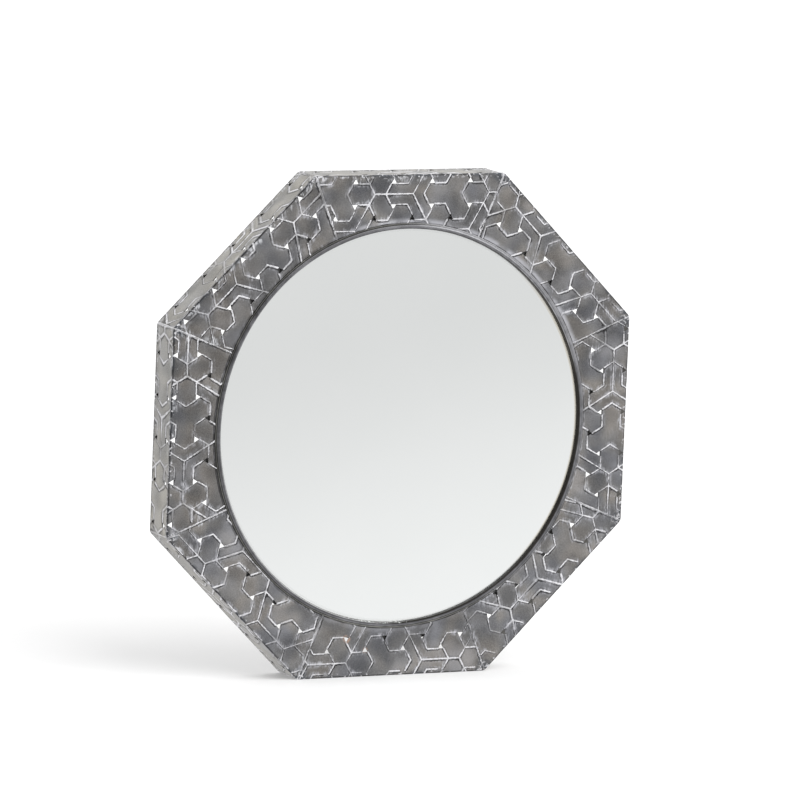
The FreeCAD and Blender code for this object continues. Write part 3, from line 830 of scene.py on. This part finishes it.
def dark_dirt_and_shade(s, marks, ragged):
    """Dirt with painted shade: dark feet of the lines, deeper on their lower side, dark creases along the
    folds, grime with contact shade at the ring's foot, and painted shade beside the ring on the left
    plates.
    """
    edge = marks["edge_mm"]
    rim = marks["rim_mm"]
    # Dirt and painted shade in the feet of the lines, deepest on their lower side
    foot = s.times(s.span(ragged, 0.65, 1.05), s.span(ragged, 1.4, 2.6, 1.0, 0.0),
                   s.span(s.noise(55.0, 2.0), 0.34, 0.60, 0.30, 1.0),
                   s.span(marks["shaded_low_side"], 0.2, 0.8, 0.35, 1.0))
    creases = s.times(s.span(edge, 0.0, 0.35), s.span(edge, 1.1, 2.3, 1.0, 0.0),
                      s.span(s.noise(60.0, 3.0), 0.36, 0.54, 0.6, 0.97))
    # Grime with painted contact shade at the ring's foot, and painted shade beside the ring on the left
    # plates
    grime_and_contact_shade = s.times(s.span(rim, 0.5, 1.6, 1.0, 0.0), s.span(s.noise(45.0, 3.0), 0.36, 0.60, 0.35, 0.95))
    shade_beside_ring = s.times(s.span(marks["rim_pale_and_shade"], -1.0, 0.0, 0.8, 0.0), s.span(rim, 2.2, 3.2, 1.0, 0.0))
    return s.most(foot, creases, grime_and_contact_shade, shade_beside_ring)


def dark_soot(s, marks):
    """Smoky corners, and stains along the folds."""
    soot = s.times(s.span(marks["corner_mm"], 5.0, 24.0, 1.0, 0.0),
                   s.span(s.noise(110.0, 3.0), 0.38, 0.54, 0.0, 0.85))
    stain = s.times(s.span(marks["edge_mm"], 1.5, 6.5, 1.0, 0.0),
                    s.span(s.noise(42.0, 3.0), 0.50, 0.62, 0.0, 0.6))
    return s.most(soot, stain)


def white_chalk(s, marks, ragged):
    """Patchy chalk on the lines, pale marks along the folds, and flecks and chips near corners and folds.
    """
    edge = marks["edge_mm"]
    present = s.times(s.span(s.noise(27.0, 2.0), 0.38, 0.58, 0.28, 1.0),
                      s.span(s.noise(130.0, 3.0), 0.30, 0.46, 0.35, 1.0))
    core = s.times(s.span(ragged, 0.25, 1.05, 1.0, 0.0), present)
    fold_pale = s.times(s.span(edge, 0.0, 0.7, 1.0, 0.0), s.span(s.noise(75.0, 4.0), 0.50, 0.64, 0.0, 0.7))
    flecks = s.times(s.span(s.noise(300.0, 2.0), 0.56, 0.64),
                     s.span(marks["corner_mm"], 5.0, 17.0, 0.9, 0.0))
    chips = s.times(s.span(s.noise(260.0, 2.0), 0.62, 0.68), s.span(edge, 2.0, 6.0, 0.8, 0.0))
    return s.most(core, fold_pale, flecks, chips)


def zinc(name, cold, plain, warm, bloom_share, line_share, dirt_and_shade_share, chalk_tone):
    """Aged zinc: cloudy grey sheet, chalky raised lines with dark feet of dirt and painted shade, and pale
    bloom beside them.
    """
    s = Shader(name)
    marks = {label: s.attribute(label) for label in BARE}
    clouds = s.noise(24.0, 1.0, distortion=0.4)
    sheen = s.noise(31.0, 1.0)
    grain = s.noise(850.0, 3.0)
    streaks = s.noise(1.0, 4.0, s.stretched(STREAK_SCALE))
    shade = s.math("ADD", s.span(sheen, 0.3, 0.7, 0.77, 1.23), s.span(grain, 0.3, 0.7, -0.17, 0.17))
    colour = s.ramp(clouds, [(0.34, cold), (0.50, plain), (0.66, warm)])
    # The sheet's lightness brings in painted light on some sides and painted shade on the inner faces
    colour = s.shaded(colour, s.times(shade, marks["tone"]))

    near = s.most(s.span(marks["line_mm"], 0.4, 5.5, 1.0, 0.0), s.span(marks["rim_mm"], 0.6, 4.5, 0.9, 0.0))
    bloom = pale_bloom(s, marks, near, streaks, bloom_share)
    colour = s.mix(bloom, colour, BLOOM_COLOUR)
    smears = pale_smears(s, marks, near, streaks, bloom_share)
    colour = s.mix(smears, colour, SMEAR_COLOUR)

    width = s.span(s.noise(30.0, 2.0), 0.34, 0.66, 0.62 * line_share, 1.32 * line_share)
    ragged = s.math("ADD", marks["line_mm"], s.span(s.noise(330.0, 3.0), 0.25, 0.75, -0.4, 0.4))
    ragged = s.math("DIVIDE", ragged, width)
    colour = s.mix(s.times(dark_dirt_and_shade(s, marks, ragged), dirt_and_shade_share), colour, DIRT_AND_SHADE_COLOUR)
    colour = s.mix(s.times(dark_soot(s, marks), dirt_and_shade_share), colour, SOOT_COLOUR)
    chalk = white_chalk(s, marks, ragged)
    colour = s.mix(chalk, colour, (chalk_tone, 0.995 * chalk_tone, 1.03 * chalk_tone, 1.0))
    rust = s.times(s.span(marks["rust_mm"], 3.0, 6.6, 1.0, 0.0),
                   s.span(s.noise(210.0, 3.0), 0.36, 0.56, 0.2, 0.85))
    colour = s.mix(rust, colour, RUST_COLOUR)

    dull = s.most(chalk, bloom, rust, smears)
    metal = s.times(s.math("SUBTRACT", 1.0, dull), ZINC_METAL)
    rough = s.math("ADD", s.span(sheen, 0.3, 0.7, 0.34, 0.48), s.times(chalk, 0.3))
    s.bump(s.math("ADD", s.times(grain, 0.4), s.noise(95.0, 4.0)), 0.0005, 0.3)
    return s.finish(Base_Color=colour, Metallic=metal, Roughness=rough)


# Zinc of the ring

CREST = (0.30, 0.30, 0.32)
BEVEL = (0.155, 0.154, 0.162)
# Near-black painted as shade in the rim's groove and along its outer edge
GROOVE = (0.04, 0.04, 0.04)
FOOT = (0.125, 0.124, 0.115)
# A copy of the bands painted lighter where light falls at the right
LIT_CREST = (0.46, 0.46, 0.47)
LIT_BEVEL = (0.20, 0.20, 0.215)
LIT_GROOVE = (0.14, 0.14, 0.15)
LIT_FOOT = (0.27, 0.27, 0.28)
# A painted glint on the crest
CREST_GLINT = grey(0.62)
# Pale dust with painted light on the rim's upper right
RIM_DUST_AND_LIGHT_COLOUR = (0.42, 0.42, 0.44, 1.0)
# Black painted as shade on the inner wall and on the crest at the right
BLACK = (0.018, 0.016, 0.013, 1.0)
SOLDER = (0.45, 0.46, 0.45, 1.0)
# How closely turning lines follow each other outward and in depth
TURNING_SCALE = (1900.0, 700.0)
# Depth in metres where the inner wall's black, painted as shade, begins, and the radii between which that
# black, the painted shadow on the crest and the specks end
WALL_DEPTH = (-0.0024, -0.0020)
WALL_END = (0.2401, 0.2406)
SHADOW_END = (0.2409, 0.2416)
SPECKS_END = (0.2405, 0.2415)


def rim_bands(s, across, rise, reach):
    """Crest, bevel, groove and foot of the rim, with a lit copy painted at the right, painted shade at the
    top, and at the bottom a crest painted darker and a bevel painted lighter.
    """
    colour = s.ramp(reach, [(0.14, CREST), (0.32, BEVEL), (0.62, BEVEL), (0.70, GROOVE), (0.75, GROOVE),
                            (0.81, FOOT), (0.92, FOOT), (0.99, GROOVE)])
    lit_bands = s.ramp(reach, [(0.16, LIT_CREST), (0.28, LIT_BEVEL), (0.66, LIT_BEVEL),
                            (0.72, LIT_GROOVE), (0.82, LIT_FOOT), (0.95, LIT_BEVEL)])
    colour = s.mix(s.span(across, 0.09, 0.19, 0.0, 0.9), colour, lit_bands)
    bottom_light_and_shade = s.times(s.span(rise, -0.235, -0.19, 1.0, 0.0), s.span(reach, 0.22, 0.50, -0.5, 0.45))
    return s.shaded(colour, s.math("ADD", s.span(rise, 0.15, 0.235, 1.0, 0.72), bottom_light_and_shade))


def rim_shadow(s, across, rise, radius):
    """The dark crest at the right and the lower right."""
    lower_right = s.math("SUBTRACT", across, s.times(rise, 0.55))
    return s.times(s.span(lower_right, 0.10, 0.15), s.span(rise, 0.04, 0.12, 1.0, 0.0),
                   s.span(radius, *SHADOW_END, 0.93, 0.0))


def rim_specks(s, across, rise, radius):
    """Specks of solder at the foot of the opening."""
    return s.times(s.span(across, -0.075, -0.055), s.span(across, 0.005, 0.025, 1.0, 0.0),
                   s.span(rise, -0.23, -0.20, 1.0, 0.0), s.span(radius, *SPECKS_END, 1.0, 0.0),
                   s.span(s.noise(380.0, 2.0), 0.56, 0.62))


def ring_zinc():
    """The rolled rim: a pale crest with a painted glint at the lower left, a bevel with a fine groove at
    its foot painted dark as shade, pale dust and painted light at the upper right, black painted as shade
    inside, solder specks.
    """
    s = Shader("ring_zinc")
    across, rise, radius = s.around_axis()
    back = s.apart()["Y"]
    turned = s.node("ShaderNodeCombineXYZ", {"X": s.times(radius, TURNING_SCALE[0]),
                                             "Y": s.times(back, TURNING_SCALE[1])})
    lines = s.noise(1.0, 3.0, turned.outputs[0])
    clouds = s.noise(30.0, 3.0)
    blotch = s.noise(120.0, 4.0)
    reach = s.math("SUBTRACT", radius, SIGHT_RADIUS * MM)
    reach = s.math("DIVIDE", reach, (LIP_RADIUS - SIGHT_RADIUS) * MM)

    colour = rim_bands(s, across, rise, reach)
    shade = s.times(s.span(lines, 0.32, 0.62, 0.75, 1.18), s.span(blotch, 0.3, 0.7, 0.82, 1.15))
    colour = s.shaded(colour, s.times(shade, s.span(clouds, 0.35, 0.65, 0.82, 1.18)))
    # A painted glint along the crest at the lower left
    slant = s.math("ADD", across, rise)
    crest_glint = s.times(s.span(slant, -0.33, -0.22, 0.85, 0.0), s.span(reach, 0.14, 0.26, 1.0, 0.0))
    colour = s.mix(crest_glint, colour, CREST_GLINT)
    # Pale dust and painted light on the rim's upper right
    pale = s.times(s.span(slant, 0.23, 0.32, 0.0, 0.8), s.span(reach, 0.40, 0.60),
                   s.span(clouds, 0.35, 0.55, 0.5, 1.0))
    colour = s.mix(pale, colour, RIM_DUST_AND_LIGHT_COLOUR)
    # Black painted as shade on the rim's inner wall, with the painted shadow on the crest at the right
    depth = s.math("SUBTRACT", back, FRONT_Y * MM)
    inside = s.times(s.span(depth, *WALL_DEPTH), s.span(radius, *WALL_END, 0.96, 0.0))
    shadow = rim_shadow(s, across, rise, radius)
    colour = s.mix(s.most(inside, shadow), colour, BLACK)
    colour = s.mix(rim_specks(s, across, rise, radius), colour, SOLDER)

    s.bump(s.math("ADD", lines, s.times(blotch, 0.5)), 0.0004, 0.5)
    return s.finish(Base_Color=colour, Metallic=s.span(shadow, 0.0, 1.0, ZINC_METAL, 0.1),
                    Specular_IOR_Level=s.span(shadow, 0.0, 1.0, 0.5, 0.05),
                    Roughness=s.span(blotch, 0.3, 0.7, 0.30, 0.46))


# Other materials

SILVER_LOW = (0.90, 0.918, 0.912)
SILVER_HIGH = (0.915, 0.93, 0.925)
# Cream painted along the glass's right rim for light seen in its edge
EDGE_GLOW_COLOUR = (0.77, 0.73, 0.64, 1.0)
BOARD_STOPS = [(0.3, (0.200, 0.199, 0.197)), (0.55, (0.255, 0.252, 0.247)), (0.75, (0.320, 0.315, 0.305))]
BOARD_CLOUD_COLOUR = (0.150, 0.148, 0.147, 1.0)
SPOT_COLOUR = (0.09, 0.075, 0.06, 1.0)
FIBRE_SCALE = (260.0, 260.0, 900.0)
SCRATCH_SCALE = (120.0, 120.0, 1500.0)
# Radii in metres between which the glass's haze and its painted edge glow begin
HAZE_START = (0.2345, 0.2375)
EDGE_GLOW_START = (0.2350, 0.2366)


def mirror_silver():
    """Silvered glass with the faintest film on it, hazy along its rim, and with a cream strip painted at
    its right rim for light seen in the glass's edge.
    """
    s = Shader("mirror_silver")
    film = s.noise(9.0, 4.0)
    colour = s.ramp(film, [(0.3, SILVER_LOW), (0.7, SILVER_HIGH)])
    across, _, radius = s.around_axis()
    haze = s.span(radius, *HAZE_START, 0.0, 0.25)
    edge_glow = s.times(s.span(radius, *EDGE_GLOW_START, 0.0, 0.9), s.span(across, 0.14, 0.21))
    colour = s.mix(edge_glow, colour, EDGE_GLOW_COLOUR)
    rough = s.most(haze, s.span(film, 0.3, 0.7, 0.012, 0.03))
    return s.finish(Base_Color=colour, Metallic=1.0, Roughness=rough)


def hardboard():
    """Grey-painted fibre board."""
    s = Shader("hardboard")
    fibres = s.noise(1.0, 5.0, s.stretched(FIBRE_SCALE))
    clouds = s.noise(14.0, 3.0)
    colour = s.ramp(fibres, BOARD_STOPS)
    colour = s.mix(s.span(clouds, 0.4, 0.7, 0.0, 0.35), colour, BOARD_CLOUD_COLOUR)
    s.bump(fibres, 0.0003, 0.6)
    return s.finish(Base_Color=colour, Roughness=s.span(clouds, 0.3, 0.7, 0.55, 0.75))


def plain_metal(name, low, high, metal, scale):
    """Bare strip or plated steel: cloudy, finely scratched, with dull spots."""
    s = Shader(name)
    clouds = s.noise(scale, 4.0)
    scratches = s.noise(1.0, 3.0, s.stretched(SCRATCH_SCALE))
    colour = s.ramp(clouds, [(0.3, low), (0.7, high)])
    spots = s.span(s.noise(scale * 6, 2.0), 0.60, 0.70, 0.0, 0.5)
    colour = s.mix(spots, colour, SPOT_COLOUR)
    s.bump(s.math("ADD", scratches, clouds), 0.0002, 0.5)
    return s.finish(Base_Color=colour, Metallic=metal, Roughness=s.span(scratches, 0.3, 0.7, 0.34, 0.52))


# One zinc in two copies: the sides' colours painted lighter as lit and the fronts' darker as shaded
front_zinc_shaded = zinc("front_zinc_shaded", (0.160, 0.162, 0.173), (0.192, 0.189, 0.188), (0.236, 0.222, 0.208),
                  bloom_share=0.86, line_share=1.0, dirt_and_shade_share=1.0, chalk_tone=0.76)
side_zinc_lit = zinc("side_zinc_lit", (0.315, 0.310, 0.300), (0.358, 0.347, 0.326), (0.405, 0.388, 0.352),
                 bloom_share=0.6, line_share=1.6, dirt_and_shade_share=0.75, chalk_tone=0.82)
rim_zinc = ring_zinc()
strip_metal = plain_metal("strip_metal", (0.20, 0.20, 0.205), (0.33, 0.325, 0.315), metal=0.85, scale=45.0)
hanger_steel = plain_metal("hanger_steel", (0.30, 0.30, 0.31), (0.46, 0.455, 0.44), metal=0.95, scale=90.0)


# Sheets of the frame

for order, side_name in enumerate(SIDES):
    thin_solid(f"plate_{side_name}", [plate_sheet(side_name, order + PLATE_SEED)], front_zinc_shaded,
               [f"front_plate_{side_name}"])
    thin_solid(f"wall_{side_name}", [wall_sheet(side_name, order + WALL_SEED), hem_sheet(side_name)],
               side_zinc_lit, [f"side_wall_{side_name}"])


# Ring around the glass

# The rim's section: distance outward from its sight edge, and height over the plates' front
RING_SECTION = (
    (1.2, -2.5), (1.2, -0.3), (6.7, -0.3), (7.0, 0.1), (6.95, 0.45), (6.7, 0.72), (6.2, 0.95),
    (5.6, 1.02), (5.25, 0.82), (4.95, 0.84), (4.7, 1.22), (4.1, 1.6), (3.3, 1.92), (2.4, 2.2),
    (1.7, 2.35), (1.1, 2.38), (0.6, 2.2), (0.25, 1.75), (0.1, 1.1), (0.0, 0.2), (0.0, -1.2),
    (0.1, -2.2), (0.3, -2.5),
)
RING_TURNS = 320
# The lip's swelling: how often it comes and goes, its seed, and how far it goes out, down and up
SWELL_PACE = 9
SWELL_SEED = 0.5
SWELL_OUT = 0.12
SWELL_DOWN = 0.14
SWELL_UP = 0.05
# The swelling grows from the first of these heights over the second
LIP_FOOT = -1.0
LIP_GROWTH = 3.0


def make_ring():
    """The rim as a turned section whose lip wavers a little, as hand-rolled strip does."""
    count = len(RING_SECTION)
    vertices = []
    for turn in range(RING_TURNS):
        angle = 2 * math.pi * turn / RING_TURNS
        c = math.cos(angle)
        s = math.sin(angle)
        swell = noise.noise(Vector((c * SWELL_PACE, s * SWELL_PACE, SWELL_SEED)))
        for outward, height in RING_SECTION:
            lip = max(0.0, min(1.0, (height - LIP_FOOT) / LIP_GROWTH))
            r = SIGHT_RADIUS + outward + SWELL_OUT * swell * lip
            h = min(height - lip * SWELL_DOWN * abs(swell) + SWELL_UP * swell, LIP_HEIGHT)
            vertices.append((r * c * MM, (FRONT_Y - h) * MM, (CENTRE_Z + r * s) * MM))
    faces = []
    for turn in range(RING_TURNS):
        after = (turn + 1) % RING_TURNS
        for step in range(count):
            following = (step + 1) % count
            faces.append((turn * count + step, turn * count + following,
                          after * count + following, after * count + step))
    mesh = bpy.data.meshes.new("ring")
    mesh.from_pydata(vertices, [], faces)
    mesh.shade_smooth()
    mesh.set_sharp_from_angle(angle=math.radians(RING_SHARP))
    add_piece("ring", mesh, rim_zinc, ["mirror_ring"])


make_ring()


# Solid pieces that keep their CAD shape

def dress(node_name, material):
    """Give a CAD node its material."""
    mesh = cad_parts[node_name].data
    mesh.materials.clear()
    mesh.materials.append(material)


dress("mirror_glass", mirror_silver())
dress("backing_board", hardboard())
for node_name in ("retaining_clips", "seam_straps", "corner_gussets"):
    dress(node_name, strip_metal)
for hand in ("left", "right"):
    for kind_name in ("hanger_bracket", "hanger_rivets", "hanger_loop"):
        dress(f"{kind_name}_{hand}", hanger_steel)


# Floor, light and camera

FLOOR_HALF = 30.0
PAPER_LOW = (0.80, 0.80, 0.80)
PAPER_HIGH = (0.82, 0.82, 0.82)
PAPER_ROUGH = 0.9
# What the floor adds where it is seen directly, and how bright it looks in the mirror near the camera
# and far from it
FLOOR_GLOW = 0.135
MIRRORED_NEAR = 0.77
MIRRORED_FAR = 0.97
SUN_ENERGY = 2.0
SUN_SPREAD = 60
SUN_AIM = (-0.36, 0.70, -0.74)
# The camera's turns about Z, X and Y in degrees, the front's middle as it sees it in millimetres, its lens
CAMERA_TURNS = (26.242, 8.433, -1.653)
MIDDLE_SEEN = (1.21, 9592.56, -31.27)
SENSOR_WIDTH = 36.0
LENS = 358.55


def make_floor():
    """White paper that looks brighter in the mirror towards the back and the right."""
    corners = [(-FLOOR_HALF, -FLOOR_HALF, 0.0), (FLOOR_HALF, -FLOOR_HALF, 0.0),
               (FLOOR_HALF, FLOOR_HALF, 0.0), (-FLOOR_HALF, FLOOR_HALF, 0.0)]
    mesh = bpy.data.meshes.new("floor")
    mesh.from_pydata(corners, [], [(0, 1, 2, 3)])
    s = Shader("floor_white")
    ray = s.node("ShaderNodeLightPath").outputs
    paper = s.ramp(s.noise(3.0, 2.0), [(0.3, PAPER_LOW), (0.7, PAPER_HIGH)])
    s.finish(Base_Color=paper, Roughness=PAPER_ROUGH)
    seen = s.most(ray["Is Camera Ray"], ray["Is Transmission Ray"])
    glow = s.node("ShaderNodeEmission", {"Color": grey(1.0), "Strength": s.times(seen, FLOOR_GLOW)})
    shown = s.node("ShaderNodeAddShader", {0: s.surface.outputs[0], 1: glow.outputs[0]})
    apart = s.apart()
    slant = s.math("ADD", s.times(apart["Y"], 1.6), s.times(apart["X"], 1.2))
    level = s.span(slant, -3.0, 0.0, MIRRORED_NEAR, MIRRORED_FAR)
    mirrored = s.node("ShaderNodeEmission", {"Color": grey(1.0), "Strength": level})
    pick = s.node("ShaderNodeMixShader", {"Fac": ray["Is Glossy Ray"], 1: shown.outputs[0],
                                          2: mirrored.outputs[0]})
    s.put(s.tree.nodes["Material Output"].inputs["Surface"], pick.outputs[0])
    mesh.materials.append(s.material)
    floor = bpy.data.objects.new("floor", mesh)
    bpy.context.scene.collection.objects.link(floor)


def make_world():
    """Soft studio: a bright sweep behind the object and to its right, and a dimmer room in front."""
    world = bpy.data.worlds.new("studio")
    bpy.context.scene.world = world
    world.use_nodes = True
    g = Graph(world.node_tree)
    ray = g.node("ShaderNodeLightPath").outputs
    way = g.node("ShaderNodeSeparateXYZ", {0: g.node("ShaderNodeTexCoord").outputs["Generated"]}).outputs
    behind = g.span(way["Y"], -0.45, 0.25, 0.30, 0.90)
    right = g.span(way["X"], -0.3, 0.9, 0.0, 0.40)
    above = g.span(way["Z"], 0.3, 1.0, 0.0, 0.20)
    studio = g.math("ADD", g.math("ADD", behind, right), above)
    background = g.tree.nodes["Background"]
    g.put(background.inputs["Strength"], g.most(studio, ray["Is Camera Ray"]))
    g.put(background.inputs["Color"], grey(1.0))


def make_lamp():
    """A broad sun from the front, the right and above."""
    sun = bpy.data.lights.new("key", "SUN")
    sun.energy = SUN_ENERGY
    sun.angle = math.radians(SUN_SPREAD)
    lamp = bpy.data.objects.new("key", sun)
    lamp.rotation_mode = "QUATERNION"
    lamp.rotation_quaternion = Vector(SUN_AIM).to_track_quat("-Z", "Y")
    bpy.context.scene.collection.objects.link(lamp)


def make_camera():
    """The photograph's own view, solved from the frame's corners."""
    turn = Matrix.Identity(3)
    for degrees, axis in zip(CAMERA_TURNS, "ZXY"):
        turn = turn @ Matrix.Rotation(math.radians(degrees), 3, axis)
    middle = Vector((0.0, FRONT_Y, CENTRE_Z)) * MM
    stand = middle - turn.transposed() @ (Vector(MIDDLE_SEEN) * MM)
    right, forward, up = (Vector(turn[row]) for row in range(3))
    data = bpy.data.cameras.new("camera")
    data.sensor_width = SENSOR_WIDTH
    data.lens = LENS
    camera = bpy.data.objects.new("camera", data)
    camera.matrix_world = Matrix.Translation(stand) @ Matrix((right, up, -forward)).transposed().to_4x4()
    bpy.context.scene.collection.objects.link(camera)
    bpy.context.scene.camera = camera


make_floor()
make_world()
make_lamp()
make_camera()
bpy.context.scene.view_settings.view_transform = "Standard"
